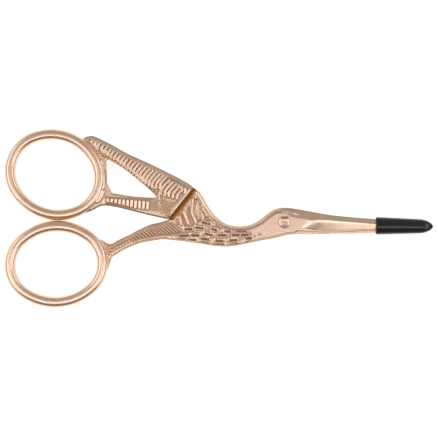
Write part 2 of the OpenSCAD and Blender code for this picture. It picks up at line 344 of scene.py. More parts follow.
def planes(a, b, fine, coarse, fa, fb):
    """Grid planes from a to b, closer together between fa and fb."""
    out = [a]
    while out[-1] < b:
        x = out[-1]
        away = max(fa - x, x - fb, 0.0)
        out.append(x + fine + (coarse - fine) * min(away / 2.0, 1.0))
    return np.array(out)


def depth_planes():
    """Planes through the thickness, none of them near a flat face of the halves."""
    up = np.array([1.90, 2.02, 2.16, 2.30, 2.45, 2.60, 2.75, 2.90, 3.05, 3.20, 3.35, 3.51, 3.67, 3.85])
    return np.concatenate([TOP - up[::-1], [MID], up])


def sculpt(name, field, axes, h, cavity=None, eps=0.05, pull=3, painted_bounce=None):
    """A mesh of the surface where field(x, y, z) is zero, its points moved onto it and its normals taken from it."""
    F = field(axes[0], axes[1], axes[2], True)
    v, q = surface_nets(F, axes)
    del F

    def grad(p):
        g = np.empty_like(p)
        for ax in range(3):
            d = np.zeros(3)
            d[ax] = eps
            a, b = p + d, p - d
            g[:, ax] = (field(a[:, 0], a[:, 1], a[:, 2], False) - field(b[:, 0], b[:, 1], b[:, 2], False)) / (2 * eps)
        return g

    def onto(v, reach):
        f = field(v[:, 0], v[:, 1], v[:, 2], False)
        g = grad(v)
        l2 = (g * g).sum(1) + 1e-6
        stepv = -(f / l2)[:, None] * g
        ln = np.linalg.norm(stepv, axis=1)
        return v + stepv * (0.9 * np.minimum(1, reach * h / np.maximum(ln, 1e-9)))[:, None], g / np.sqrt(l2)[:, None]

    for _ in range(pull):
        v, nn = onto(v, 0.45)
    # even out the points along the surface, so that no two cells fold over each other
    cnt = np.bincount(q.ravel(), minlength=len(v)) * 2.0
    for _ in range(3):
        av = np.zeros_like(v)
        for k in range(4):
            for o in (1, 3):
                for ax in range(3):
                    av[:, ax] += np.bincount(q[:, k], weights=v[q[:, (k + o) % 4], ax], minlength=len(v))
        dv = av / np.maximum(cnt, 1)[:, None] - v
        dv -= (dv * nn).sum(1)[:, None] * nn
        v, nn = onto(v + 0.5 * dv, 0.3)
    g = grad(v)
    nrm = g / np.maximum(np.linalg.norm(g, axis=1), 1e-9)[:, None]
    me = bpy.data.meshes.new(name)
    me.vertices.add(len(v))
    me.vertices.foreach_set("co", (v * 1e-3).astype(np.float32).ravel())
    me.loops.add(len(q) * 4)
    me.loops.foreach_set("vertex_index", q.astype(np.int32).ravel())
    me.polygons.add(len(q))
    me.polygons.foreach_set("loop_start", np.arange(0, len(q) * 4, 4, dtype=np.int32))
    me.update(calc_edges=True)
    me.validate()
    if cavity is not None:
        at = me.attributes.new("cavity", "FLOAT", "POINT")
        at.data.foreach_set("value", cavity(v).astype(np.float32))
    # mask of the painted light reflected between gold faces
    if painted_bounce is not None:
        at = me.attributes.new("painted_bounce", "FLOAT", "POINT")
        at.data.foreach_set("value", painted_bounce(v).astype(np.float32))
    me.polygons.foreach_set("use_smooth", np.ones(len(me.polygons), bool))
    me.normals_split_custom_set_from_vertices(nrm.astype(np.float32))
    ob = bpy.data.objects.new(name, me)
    bpy.context.scene.collection.objects.link(ob)
    return ob


# ------------------------------------------------------------------------------------------------ relief of the bird
def lerp2(a, b, t):
    return (a[0] + (b[0] - a[0]) * t, a[1] + (b[1] - a[1]) * t)


def wing_relief(R):
    """Feathers of the wing: slanted ribs under a smooth rail, a beaded lower border and small barbs near the body."""
    def top(x):
        return 143.9 + 0.506 * (x - 99.5)

    # one long slanted feather after another, from the rail down to the beads
    xs = [93.4, 96.8, 100.2, 104.0, 107.7, 111.4, 114.8, 118.4, 122.0, 125.5, 128.9, 132.7, 136.2, 139.7, 143.2, 146.6,
          150.1, 153.5, 156.9, 160.2, 163.5, 166.7]
    roots = [(x, top(x) + 0.3, float(np.interp(x, [93, 99, 111, 122, 133, 147, 155, 161, 167],
                                               [2.6, 3.4, 4.6, 5.6, 7.4, 10.2, 11.8, 12.2, 10.0]))) for x in xs]
    roots += [(168.5, 182.4, 11.8), (171.9, 184.4, 10.8), (175.2, 186.6, 9.6), (178.6, 188.8, 8.6), (182.0, 191.2, 7.4)]
    for x, y, ln in roots:
        y, x, ln = y - 1.9, x + 0.4, ln + 1.9
        a, m, n, b = px(x, y), px(x - 0.34 * ln, y + 0.36 * ln), px(x - 0.57 * ln, y + 0.69 * ln), px(x - 0.60 * ln,
                                                                                                      y + 1.00 * ln)
        R.stroke(spl([a, m, n, b], 4), 0.47, 0.42, 0.0, 0.40)
    # short feathers above them, towards the free edge
    for x in (169.6, 172.8, 176.0, 179.0):
        R.stroke([px(x, top(x) + 0.6), px(x - 0.9, top(x) + 3.0)], 0.38, 0.36, 0.0, 0.45)
    for x in (182.2, 185.6, 188.9):
        R.stroke([px(x, top(x) + 0.9), px(x - 1.0, top(x) + 5.6)], 0.44, 0.40, 0.0, 0.40)
    # staggered beads along the window and up the side of the bow
    ex = [86.5, 90.0, 94.0, 99.0, 103.0, 108.2, 123.0, 138.2, 150.0, 157.0]
    ey = [140.2, 143.0, 148.6, 155.0, 157.6, 159.0, 168.3, 180.1, 190.1, 196.5]
    e = np.array([px(x, y) for x, y in zip(ex, ey)])
    s = np.concatenate([[0], np.cumsum(np.linalg.norm(np.diff(e, axis=0), axis=1))])

    def on(t, off):
        t = min(max(t, 0.0), s[-1] - 1e-6)
        x, y = np.interp(t, s, e[:, 0]), np.interp(t, s, e[:, 1])
        x2, y2 = np.interp(t + 0.6, s, e[:, 0]), np.interp(t + 0.6, s, e[:, 1])
        x1, y1 = np.interp(t - 0.6, s, e[:, 0]), np.interp(t - 0.6, s, e[:, 1])
        dx, dy = x2 - x1, y2 - y1
        l = math.hypot(dx, dy) + 1e-9
        return x - dy / l * off, y + dx / l * off

    pitch = 0.90
    n = int(s[-1] / pitch)
    for k in range(n):
        t = (k + 0.5) * pitch
        x, y = on(t, 0.46)
        R.stroke([(x - 0.08, y - 0.12), (x + 0.08, y + 0.12)], 0.31, 0.36, 0.0, 0.9)
        x, y = on(t + pitch / 2, 1.10)
        R.stroke([(x - 0.08, y - 0.14), (x + 0.08, y + 0.14)], 0.31, 0.38, 0.0, 0.9)
        if t < 7.0:
            x, y = on(t, 1.76)
            R.stroke([(x - 0.08, y - 0.12), (x + 0.08, y + 0.12)], 0.30, 0.34, 0.0, 1.0)
    # hook-shaped feather root at the window's corner
    R.stroke(spl([px(159.6, 200.0), px(159.2, 195.0), px(160.8, 191.6), px(163.8, 190.8), px(166.6, 193.0)], 5), 0.34,
             0.40, 0.0, 0.45)
    R.stroke([px(163.6, 199.6), px(163.9, 197.0)], 0.26, 0.30, 0.0, 0.8)
    R.stroke([px(164.2, 194.0), px(166.2, 196.0)], 0.24, 0.28, 0.0, 0.8)
    # small barbs between the hook and the free edge
    for r in range(6):
        for c in range(7):
            x = 157.5 + 3.1 * c + 1.3 * r
            y = 201.0 + 1.25 * c * 0.62 + 2.75 * r - 0.9 * c * 0.15
            if x + 0.86 * (y - 190) > 189.5 or y > 212.5 + (x - 158) * 0.1 or y < 196.5 + 0.06 * (x - 158):
                continue
            R.stroke([px(x + 0.9, y - 1.0), px(x - 0.9, y + 0.9)], 0.24, 0.30, 0.0, 1.0)
    # short cross cuts beside the rim of the free edge
    for k in range(14):
        t = (k + 0.5) / 14
        x, y = 191.6 - 22.6 * t, 190.2 + 26.0 * t
        R.stroke([px(x - 2.6, y - 1.0), px(x - 4.4, y + 0.5)], 0.22, 0.28, 0.0, 1.0)


def upper_leg_relief(R):
    """The upper leg: a row of raised bars between two smooth rails, then fine barbs towards the body."""
    for k in range(11):
        x = 107.6 + 4.0 * k
        y = 201.7 + 0.085 * (x - 107.6)
        e = 2.7 + 0.08 * k
        R.stroke([px(x + 0.2, y - e), px(x - 0.2, y + e)], 0.50, 0.46, 0.16, 0.42)
    for r in range(4):
        for c in range(4):
            x = 150.0 + 2.9 * c + 0.9 * r
            y = 201.4 + 2.5 * r + 0.3 * c
            R.stroke([px(x + 0.8, y - 0.9), px(x - 0.7, y + 0.8)], 0.24, 0.28, 0.0, 1.0)


def lower_leg_relief(R):
    """The lower leg: fine slanted barbs between two rails, and small facets at the bow."""
    mid = spl([px(106.0, 250.5), px(113.0, 247.8), px(122.0, 243.2), px(132.0, 237.8), px(141.0, 234.6),
               px(151.0, 232.2), px(162.0, 230.4), px(170.0, 229.0), px(178.6, 227.4)], 8)
    seg = np.linalg.norm(np.diff(mid, axis=0), axis=1)
    s = np.concatenate([[0], np.cumsum(seg)])
    total = s[-1]
    n = 23
    for k in range(n):
        t = (k + 0.5) / n * total
        x, y = np.interp(t, s, mid[:, 0]), np.interp(t, s, mid[:, 1])
        wid = np.interp(t / total, [0, 0.25, 0.5, 0.75, 1.0], [0.75, 0.85, 1.15, 1.40, 1.7])
        if k < 8:
            # pairs of grains, slanted up to the right
            for o in (-0.5, 0.5):
                cx, cy = x - 0.35 * o, y + wid * 0.95 * o
                R.stroke([(cx - 0.14, cy - 0.20), (cx + 0.14, cy + 0.20)], 0.33, 0.42, 0.0, 0.7)
        else:
            R.stroke([(x - wid * 0.86, y + wid * 0.70), (x + wid * 0.60, y - wid * 0.52)], 0.31, 0.40, 0.0, 0.5)
            R.dot(x + wid * 0.78, y - wid * 0.98, 0.38, 0.46)
    R.stroke([px(101.6, 249.8), px(101.6, 251.6)], 0.30, 0.20)
    R.stroke([px(104.4, 250.4), px(105.4, 253.2), px(104.2, 256.0)], 0.32, 0.22)
    R.stroke([px(105.4, 257.0), px(105.6, 260.4)], 0.26, 0.20)
    R.stroke([px(107.6, 257.0), px(107.4, 260.2)], 0.24, 0.18)
    R.dot(*px(109.4, 254.2), 0.32, 0.22)
    R.dot(*px(110.2, 250.0), 0.34, 0.22)
    R.dot(*px(113.0, 251.2), 0.30, 0.2)
    R.dot(*px(107.6, 253.0), 0.34, -0.18)
    # bright outer rim of the web, from the corner down to the ring
    R.stroke(spl([px(112.0, 256.0), px(109.6, 261.0), px(106.6, 266.0), px(104.4, 272.0), px(101.6, 279.0)], 5), 0.36,
             0.26, 0.1)


def body_relief(R):
    """Long feathers over the shoulder, then courses of overlapping scales down the breast and neck."""
    bars = [
        ([(178.8, 214.6), (180.2, 218.9), (181.6, 224.4)], 0.42, 0.36),
        ([(183.3, 210.9), (185.2, 215.1), (187.0, 219.6), (188.4, 223.8)], 0.48, 0.38),
        ([(192.9, 198.0), (192.7, 204.2), (191.5, 210.5), (192.0, 214.2), (194.7, 218.7), (196.0, 222.8)], 0.45, 0.40),
        ([(198.1, 197.2), (199.5, 200.1), (201.3, 203.2)], 0.34, 0.32),
        ([(203.1, 208.0), (205.6, 211.5), (207.6, 214.7)], 0.46, 0.34),
        ([(207.4, 215.2), (205.8, 216.4)], 0.30, 0.26),
        ([(201.3, 212.8), (203.3, 216.0), (202.8, 218.5), (201.3, 220.6)], 0.32, 0.30),
        ([(210.0, 217.8), (212.9, 220.1), (215.4, 222.2)], 0.44, 0.32),
        ([(212.9, 225.0), (214.2, 223.4)], 0.28, 0.26),
        ([(219.4, 225.4), (222.4, 227.7)], 0.30, 0.26),
        ([(186.6, 206.4), (188.2, 208.6)], 0.24, 0.20),
    ]
    for pts, w, h in bars:
        R.stroke(spl([px(*p) for p in pts], 4) if len(pts) > 2 else [px(*p) for p in pts], w, h, 0.0, 0.45)
    # troughs between the long feathers, with a thin barb line in each
    for pts, w, h in (([(188.3, 208.4), (189.0, 213.6), (190.9, 218.6), (192.6, 223.8)], 0.50, -0.34),
                      ([(181.3, 213.2), (183.2, 218.6), (185.0, 224.6)], 0.34, -0.30),
                      ([(196.4, 201.0), (196.0, 208.0), (197.4, 213.6), (199.4, 219.6)], 0.72, -0.34),
                      ([(176.4, 219.6), (177.6, 223.6)], 0.42, -0.28), ([(199.9, 205.6), (200.3, 208.8)], 0.42, -0.26),
                      ([(206.0, 218.6), (208.6, 221.4)], 0.50, -0.26), ([(216.6, 225.4), (219.8, 228.6)], 0.34, -0.24)):
        R.stroke(spl([px(*p) for p in pts], 4) if len(pts) > 2 else [px(*p) for p in pts], w, h, 0.0, 1.0)
    for pts in ([(196.6, 204.4), (196.6, 209.0), (198.2, 214.4), (200.0, 219.0)], [(189.4, 210.6), (190.6, 216.6)]):
        R.stroke([px(*p) for p in pts], 0.16, 0.12, 0.0, 1.0)
    # scales: a sunk dash in each, a bead at both ends, rows laid like bricks along the breast
    rows = [
        (202.5, 210.5, 222.4, 224.2), (184.6, 192.2, 229.3, 229.2), (196.0, 203.6, 227.6, 228.6),
        (211.0, 217.0, 228.6, 230.6), (179.2, 188.8, 235.8, 235.6), (191.2, 199.4, 235.4, 235.4),
        (204.6, 212.6, 233.6, 235.6), (218.0, 226.2, 235.2, 235.4), (232.0, 239.4, 235.3, 235.2),
        (241.0, 248.6, 235.2, 234.8), (201.2, 209.2, 238.8, 239.6), (215.4, 223.4, 240.9, 241.2),
        (229.4, 237.4, 240.6, 240.0), (224.0, 231.0, 231.2, 231.4), (236.0, 247.0, 231.4, 231.2),
        (189.6, 196.6, 239.6, 240.2), (246.0, 252.0, 238.6, 238.0),
    ]
    for x0, x1, y0, y1 in rows:
        R.stroke([px(x0 + 0.9, y0), px(x1 - 0.9, y1)], 0.21, -0.37, 0.0, 0.8)
        # the scale's swollen body above and below its dash
        R.stroke([px(x0 + 0.2, y0 + 1.8), px(x1 - 0.2, y1 + 1.8)], 0.34, 0.14, 0.0, 1.0)
        R.stroke([px(x0 + 0.2, y0 - 1.8), px(x1 - 0.2, y1 - 1.8)], 0.34, 0.12, 0.0, 1.0)
    beads = [(182.0, 231.0), (193.2, 230.6), (194.6, 228.2), (205.4, 229.4), (208.8, 229.2), (218.2, 232.4),
             (203.6, 235.0), (213.6, 236.8), (216.6, 236.6), (227.2, 237.2), (230.0, 236.2), (234.0, 232.6),
             (239.2, 232.8), (224.6, 230.8), (178.2, 236.6), (190.0, 236.6), (188.2, 239.2), (200.2, 238.4),
             (209.6, 242.2), (214.0, 242.4), (224.0, 242.4), (227.6, 242.4), (240.0, 240.4), (250.4, 236.6),
             (243.0, 238.8), (202.4, 223.4), (221.4, 227.4), (260.4, 234.8), (254.4, 236.4), (178.4, 229.6),
             (212.2, 232.0), (231.0, 239.0), (239.6, 237.6), (250.6, 233.0)]
    for x, y in beads:
        R.dot(*px(x, y), 0.34, 0.30)
    R.dot(*px(258.6, 234.2), 0.26, -0.14)


# ------------------------------------------------------------------------------------------------ the two halves
def bevel(d, width, drop):
    """Height lost beside an edge: a slope of the given width, rounded where it meets the flat."""
    return drop * np.clip(1 - d / width, 0, None)


def blade_edge_y(x, a, b):
    return a[1] + (x - a[0]) * (b[1] - a[1]) / (b[0] - a[0])


def hollow(u, x):
    """Drop of the hollow-ground facet, per mm of its width, from the ridge (u 0) to the edge (u 1)."""
    t = np.linspace(-0.7, 1.0, 171)
    g = np.cumsum(sstep(0.04, 0.28, t) * (1 - 0.5 * sstep(0.8, 1.0, t))) * (t[1] - t[0])
    g -= np.interp(0.0, t, g)
    return 0.085 * u + np.interp(x, [20, 28, 34, 42], [0.11, 0.09, 0.055, 0.045]) * np.interp(u, t, g)


class FrontHalf:
    def __init__(self, h):
        p = self.plan = Plan(-58.6, 56.8, -24.9, 9.1, h)
        X, Y = p.FX, p.FY
        top_c, belly_c = spl(neck_top), spl(belly)
        spine_c, edge_c = spl(front_spine), spl(front_edge)
        head = spl([(20.7, -4.3), (21.0, -3.9), (21.4, -3.5)], 4)
        outline = np.concatenate([top_c[:-1], spine_c, edge_c, head[::-1][1:-1], belly_c[:-1], spl(leg_under),
                                  spl(leg_web), spl(leg_top)])
        self.d = p.poly(outline)
        self.step = half_plane(X, Y, STEP_A, STEP_B)        # above zero towards the body
        self.ring = oval_field(X, Y, **LO)
        d_up = p.line(np.concatenate([spl(leg_top)[:-1], ]))
        d_neck = p.line(np.concatenate([top_c, spine_c[1:]]))
        d_low = p.line(np.concatenate([belly_c[:-1], spl(leg_under)]))
        d_diag = half_plane(X, Y, FRONT_B, FRONT_A)
        d_diag = np.abs(d_diag)
        R = Relief(p)
        body_relief(R)
        lower_leg_relief(R)
        # flat lands that the relief stands on
        land = np.full(X.shape, 3.12, np.float32)
        smooth = sstep(9.0, 12.5, X)                         # the head is plain and a little higher
        land += 0.16 * smooth
        web = 1 - sstep(-30.8, -27.5, X)
        land -= 0.10 * web
        z = land + R.up - R.down
        # rolled rim along the back of neck and head, which runs on as the upper facet of the blade
        spine_h = np.interp(X, [16, 30, 36, 42, 56], [2.44, 2.52, 2.42, 2.20, 1.95])
        slope = np.interp(X, [16, 17.5, 20.8, 22.8, 25, 60], [0.82, 0.78, 0.52, 0.42, 0.38, 0.38])
        dn = d_neck * np.interp(X, [14.8, 17.3, 19.5, 22.7], [1.0, 0.90, 0.60, 0.47])
        rim = 2.50 + 0.60 * (1 - (1 - np.clip(dn / 0.62, 0, 1)) ** 2)
        rim = rim - 0.17 * np.exp(-((dn - 1.02) / 0.24) ** 2)
        rim = smin(rim, spine_h + np.interp(X, [14.8, 18.0], [0.7, 0.0]) + 0.50 * d_neck, 0.08)
        rim = np.where(dn > 1.02, rim + (dn - 1.02) * 0.9, rim)
        back = spine_h + d_neck * slope - 0.06 * np.exp(-((d_neck - 0.85 / slope * 0.95) / 0.25) ** 2)
        w = sstep(19.0, 24.0, X)
        back = rim * (1 - w) + back * w
        z = smin(z, back, 0.10)
        z = smin(z, 2.60 + d_low * 1.05, 0.14)
        z = smin(z, 2.50 + d_up * 0.95, 0.16)
        diag_on = (Y > -0.4 + 0 * X)
        z = np.where(diag_on & (X < -3), smin(z, 1.90 + 1.12 * np.clip(d_diag - 0.28, 0, None), 0.26), z)
        z = smin(z, 2.70 + np.clip(self.ring - 1.49, 0, None) * 0.85, 0.12)
        # hollow-ground facet below the ridge of the blade, run out in a long curve below the pivot
        y_r = -0.2 - 0.0722 * (X - 23.3)
        ye = blade_edge_y(X, (27.3, -3.9), (42.0, -3.4))
        W = np.clip(y_r - ye, 0.6, None)
        u = np.clip((y_r - Y) / W, -0.6, 1)
        zr = np.interp(X, [18, 25, 32, 38, 42, 56], [3.26, 3.17, 2.95, 2.80, 2.65, 2.14])
        run_p = [(24.4, 1.0), (23.2, -0.5), (21.9, -1.9), (20.5, -3.3), (19.2, -4.9)]
        run = finer(line_dist(p.X, p.Y, spl(run_p, 6)))
        side = X - np.interp(Y, [q[1] for q in run_p[::-1]], [q[0] for q in run_p[::-1]])
        side = np.where(side < 0, -run, run)
        facet = zr - hollow(u, X) * W * sstep(0.0, 4.6, side)
        d_edge = p.line(edge_c)
        facet = smin(facet, 1.93 + d_edge * 1.45, 0.06)
        facet = facet + 0.0105 * np.clip(4.6 - side, 0, None) ** 2 + 0.9 * np.clip(-side - 0.1, 0, None)
        z = np.where((X > 16.0), smin(z, facet, 0.12), z)
        r = np.hypot(X - PIVOT[0], Y - PIVOT[1])
        self.zf = z.astype(np.float32)
        # back of the lower leg, the same work turned over
        zb = land + R.up - R.down
        zb = smin(zb, 2.60 + d_low * 1.05, 0.14)
        zb = smin(zb, 2.50 + d_up * 0.95, 0.16)
        zb = smin(zb, 2.70 + np.clip(self.ring - 1.49, 0, None) * 0.85, 0.12)
        self.zb = (TOP - zb).astype(np.float32)
        foot = diag_on & (X < -3)
        # painted shade: the depth of each point below its surroundings, which the material darkens; at the foot of the
        # body's edge beside the wing's free edge that depth is dropped and a painted shadow band is added
        self.cf = (blur(self.zf, 6) - self.zf) * np.where(foot, sstep(1.2, 1.7, d_diag), 1)
        self.cf += np.where(foot, 0.2 * (1 - sstep(0.22, 0.62, d_diag)), 0)
        self.cb = self.zb - blur(self.zb, 6)
        self.r = r.astype(np.float32)
        self.rows = [self.d, self.step, self.ring, self.zf, self.zb, self.r]

    def field(self, x, y, z, grid):
        if grid:
            x, y = np.meshgrid(x, y, indexing="ij")
            d, st, ring, zf, zb, r = (self.plan.sample(A, x, y)[:, :, None] for A in self.rows)
            z = z[None, None, :]
        else:
            d, st, ring, zf, zb, r = (self.plan.sample(A, x, y) for A in self.rows)
        low = smin(MID + GAP - z, smax(zb - z, st, 0.06), 0.03)
        f = smax(smax(d, z - zf, 0.16), low, 0.05)
        f = smin(f, ring_field(ring, z), 0.22)
        return smax(smax(f, 1.05 - r, 0.03), -smax(r - 1.60, 2.62 - z, 0.03), 0.04)

    def cavity(self, v):
        up = v[:, 2] > MID
        a = self.plan.sample(self.cf, v[:, 0], v[:, 1])
        b = self.plan.sample(self.cb, v[:, 0], v[:, 1])
        near = self.plan.sample(self.ring, v[:, 0], v[:, 1])
        # the flat faces that lie on each other carry no relief
        a = a * sstep(1.855, 1.875, v[:, 2])
        b = b * (1 - sstep(1.2, 1.5, v[:, 2]))
        c = np.where(up, a, b) * 6.0
        return np.where(np.abs(near) < 1.55, 0, np.clip(c, -1, 1))


class RearHalf:
    def __init__(self, h):
        p = self.plan = Plan(-58.6, 56.8, -8.3, 24.9, h)
        X, Y = p.FX, p.FY
        neck_c, belly_c = spl(neck_top), spl(belly)
        plate = np.concatenate([neck_c[1:108], [(20.8, 2.5), (21.2, 1.75)], spl(rear_edge)[1:], spl(rear_spine),
                                [(21.8, -4.3)], belly_c[:72],
                                [(-10.05, -6.13), (-13.4, -0.3), (-14.6, 0.6), (-11.0, 5.6), (-7.8, 8.2)]])
        wing = np.concatenate([spl(wing_top), spl(upper_leg_under), spl(upper_inner, 6)])
        window = np.concatenate([spl(win_top, 6), spl(win_low, 6), spl(win_left, 6)])
        d_plate, d_wing, d_win = p.poly(plate), p.poly(wing), p.poly(window)
        d_wing = smax(d_wing, -d_win, 0.25)
        self.d = smin(d_plate, d_wing, 0.02)
        self.wing = d_wing
        self.ring = oval_field(X, Y, **UP)
        side = half_plane(X, Y, DIAG_A, DIAG_B)               # above zero towards the body
        self.side = np.maximum(side, d_wing)
        R = Relief(p)
        wing_relief(R)
        upper_leg_relief(R)
        d_rail = p.line(spl(wing_top))
        d_under = p.line(spl(upper_leg_under))
        land = np.full(X.shape, 2.96, np.float32)
        rail = 2.72 + d_rail * 0.66
        lip = (Y > 5.5) & (side < 0)
        land = np.where(lip, smax(land, smin(rail, 3.46, 0.05) - 3.2 * np.clip(d_rail - 0.98, 0, None), 0.03), land)
        yc = 4.47 - 0.085 * (X + 30.05)                       # the bars lean a little to the light
        lean = (1 - sstep(0.9, 1.3, np.abs(Y - yc))) * sstep(-31.6, -31.0, X) * (1 - sstep(-18.8, -18.2, X))
        z = land + 0.082 * (Y - yc) * lean + R.up * np.where(lip, sstep(0.80, 1.05, d_rail), 1) - R.down
        leg = 2.66 + d_under * 0.80
        win = np.where(Y < 8.2, 2.72 + np.abs(d_win) * 0.78, 2.70 + np.abs(d_win) * 1.7)
        dep = np.interp(Y, [0.0, 4.5, 7.5, 9.0, 10.5, 13.0, 16.0, 22.0], [2.95, 2.90, 2.80, 2.70, 2.50, 2.50, 2.64, 2.64])
        vale = dep + np.clip(self.ring - 1.49, 0, None) * np.interp(Y, [13.0, 15.5], [0.95, 1.7])
        z = smin(z, rail, 0.14)
        z = smin(z, leg, 0.14)
        z = smin(z, win, 0.12)
        z = smin(z, vale, 0.12)
        z = smax(z, 3.42 - 0.12 * side - 2.4 * np.clip(-side - 0.36, 0, None), 0.05)
        z = smin(smin(z, rail, 0.14), leg, 0.14)
        strut = [px(101.6, 160.5), px(103.0, 166.5), px(103.9, 172.0), px(104.3, 179.0), px(104.2, 184.5), px(103.6, 189.0)]
        leaf = [px(103.4, 191.0), px(101.2, 196.2), px(97.6, 201.4)]
        z = smax(z, 3.24 - 1.2 * (np.sqrt(p.line(spl(strut, 4)) ** 2 + 0.030) - 0.173), 0.05)
        z = smax(z, 3.40 - 0.8 * p.line(spl(leaf, 4)) ** 2 - 0.6 * np.clip(p.line(spl(leaf, 4)) - 0.55, 0, None), 0.08)
        self.zf = np.minimum(z, TOP - 0.01).astype(np.float32)
        # the back: the wing again, and the bird's body on the rear plate
        Rb = Relief(p)
        wing_relief(Rb)
        upper_leg_relief(Rb)
        body_relief(Rb)
        d_neck = p.line(neck_c)
        d_belly = p.line(np.concatenate([belly_c[:72], spl([(22.8, -4.3), (21.8, -4.3), (20.7, -4.3)], 3)]))
        d_spine = p.line(spl(rear_spine))
        landb = np.where(side > 0, 3.12 + 0.16 * sstep(9.0, 12.5, X), land)
        zb = landb + Rb.up - Rb.down
        zb = np.where(side < 0, smin(smin(smin(zb, rail, 0.14), leg, 0.14), vale, 0.12), zb)
        zb = smin(zb, win, 0.12)
        rim = 2.50 + 0.60 * (1 - (1 - np.clip(d_neck / 0.62, 0, 1)) ** 2)
        rim = rim - 0.17 * np.exp(-((d_neck - 1.02) / 0.24) ** 2)
        rim = np.where(d_neck > 1.02, rim + (d_neck - 1.02) * 0.9, rim)
        zb = np.where((side > -1.5) & (X < 22), smin(zb, rim, 0.10), zb)
        zb = smin(zb, 2.60 + d_belly * 1.05, 0.14)
        zb = smin(zb, 2.75 + np.abs(side) * 1.1, 0.10)        # groove between wing and body
        spine_h = np.interp(X, [16, 30, 36, 42, 56], [2.44, 2.52, 2.42, 2.20, 1.95])
        zb = np.where(X > 19, smin(zb, spine_h + d_spine * 0.40, 0.12), zb)
        y_r = -2.2 - 0.0187 * (X - 23.3)
        ye = blade_edge_y(X, (23.5, 1.8), (42.0, -0.5))
        W = np.clip(ye - y_r, 0.6, None)
        u = np.clip((Y - y_r) / W, -0.6, 1)
        zr = np.interp(X, [18, 25, 32, 38, 42, 56], [3.26, 3.17, 2.95, 2.80, 2.65, 2.14])
        run_p = [(24.2, -3.8), (23.6, -2.2), (22.4, -0.4), (20.9, 1.2), (19.4, 2.8)]
        run = finer(line_dist(p.X, p.Y, spl(run_p, 6)))
        sd = X - np.interp(Y, [q[1] for q in run_p], [q[0] for q in run_p])
        sd = np.where(sd < 0, -run, run)
        facet = zr - hollow(u, X) * W * sstep(0.0, 4.6, sd)
        d_edge = p.line(spl(rear_edge))
        facet = smin(facet, 1.93 + d_edge * 1.45, 0.06)
        facet = facet + 0.0105 * np.clip(4.6 - sd, 0, None) ** 2 + 0.9 * np.clip(-sd - 0.1, 0, None)
        zb = np.where(X > 16, smin(zb, facet, 0.12), zb)
        self.zb = (TOP - zb).astype(np.float32)
        self.r = np.hypot(X - PIVOT[0], Y - PIVOT[1]).astype(np.float32)
        # painted shade: the depth of each point below its surroundings, which the material darkens
        self.cf = blur(self.zf, 6) - self.zf
        self.cb = self.zb - blur(self.zb, 6)
        self.rows = [self.d, self.side, self.ring, self.zf, self.zb, self.r]

    def field(self, x, y, z, grid):
        if grid:
            x, y = np.meshgrid(x, y, indexing="ij")
            d, sd, ring, zf, zb, r = (self.plan.sample(A, x, y)[:, :, None] for A in self.rows)
            z = z[None, None, :]
        else:
            d, sd, ring, zf, zb, r = (self.plan.sample(A, x, y) for A in self.rows)
        high = smin(z - (MID - GAP), smax(z - zf, sd, 0.07), 0.03)
        f = smax(smax(d, zb - z, 0.16), high, 0.05)
        f = smin(f, ring_field(ring, z), 0.22)
        return smax(f, 1.0 - r, 0.03)

    def cavity(self, v):
        up = v[:, 2] > MID
        a = self.plan.sample(self.cf, v[:, 0], v[:, 1])
        b = self.plan.sample(self.cb, v[:, 0], v[:, 1])
        near = self.plan.sample(self.ring, v[:, 0], v[:, 1])
        # the flat faces that lie on each other carry no relief
        a = a * sstep(1.855, 1.875, v[:, 2])
        b = b * (1 - sstep(1.2, 1.5, v[:, 2]))
        c = np.where(up, a, b) * 6.0
        # painted shadow along the foot of the wing's free edge
        off = np.abs(self.plan.sample(self.side, v[:, 0], v[:, 1]))
        c = np.maximum(c, (1 - sstep(0.25, 0.55, off)) * (v[:, 2] > 1.5) * (v[:, 2] < 2.1))
        return np.where(np.abs(near) < 1.55, 0, np.clip(c, -1, 1))


def painted_bounce_mask(v):
    """Mask of painted light reflected between the gold faces, which the material turns into an orange tone with painted
    shade in its hollows: the step under the wing's free edge, the corner of the window and the sides of the bows where
    they meet."""
    x, y = v[:, 0], v[:, 1]
    (ax, ay), (bx, by) = DIAG_A, DIAG_B
    ux, uy = bx - ax, by - ay
    ln = math.hypot(ux, uy)
    t = ((x - ax) * ux + (y - ay) * uy) / ln
    off = ((x - ax) * uy - (y - ay) * ux) / ln
    step = sstep(-0.25, -0.05, off) * (1 - sstep(0.8, 1.5, off)) * (v[:, 2] > 1.75) * (1 - sstep(3.0, 3.3, v[:, 2]))
    step = step * sstep(-1.6, -0.6, t) * (1 - sstep(ln - 0.3, ln + 0.6, t))
    cx, cy = px(103.5, 158.0)
    corner = np.exp(-((x - cx) ** 2 + (y - cy) ** 2) / 0.8)
    meet = np.exp(-(y / 1.5) ** 2) * np.exp(-((x + 43.0) / 9.0) ** 2)
    return np.clip(np.maximum(np.maximum(step, 0.8 * corner), 0.8 * meet), 0, 1)


def build_half(cls, name, node, body):
    half = cls(STEP)
    p = half.plan
    x1, y1 = p.x0 + p.h * (p.nx - 1), p.y0 + p.h * (p.ny - 1)
    k = 1.0
    axes = (planes(p.x0, x1 - 0.05, 0.12 * k, 0.20 * k, -33.5, 14.0), planes(p.y0, y1 - 0.05, 0.13 * k, 0.13 * k, 0, 1),
            depth_planes())
    ob = sculpt(name, half.field, axes, 0.13 * k, half.cavity, painted_bounce=painted_bounce_mask)
    print(name, len(ob.data.vertices), "points", len(ob.data.polygons) * 2, "triangles")
    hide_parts(node)
    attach(ob, body)
    return ob


front_ob = build_half(FrontHalf, "front_half_sculpted", "front_half", "front")
rear_ob = build_half(RearHalf, "rear_half_sculpted", "rear_half", "rear")


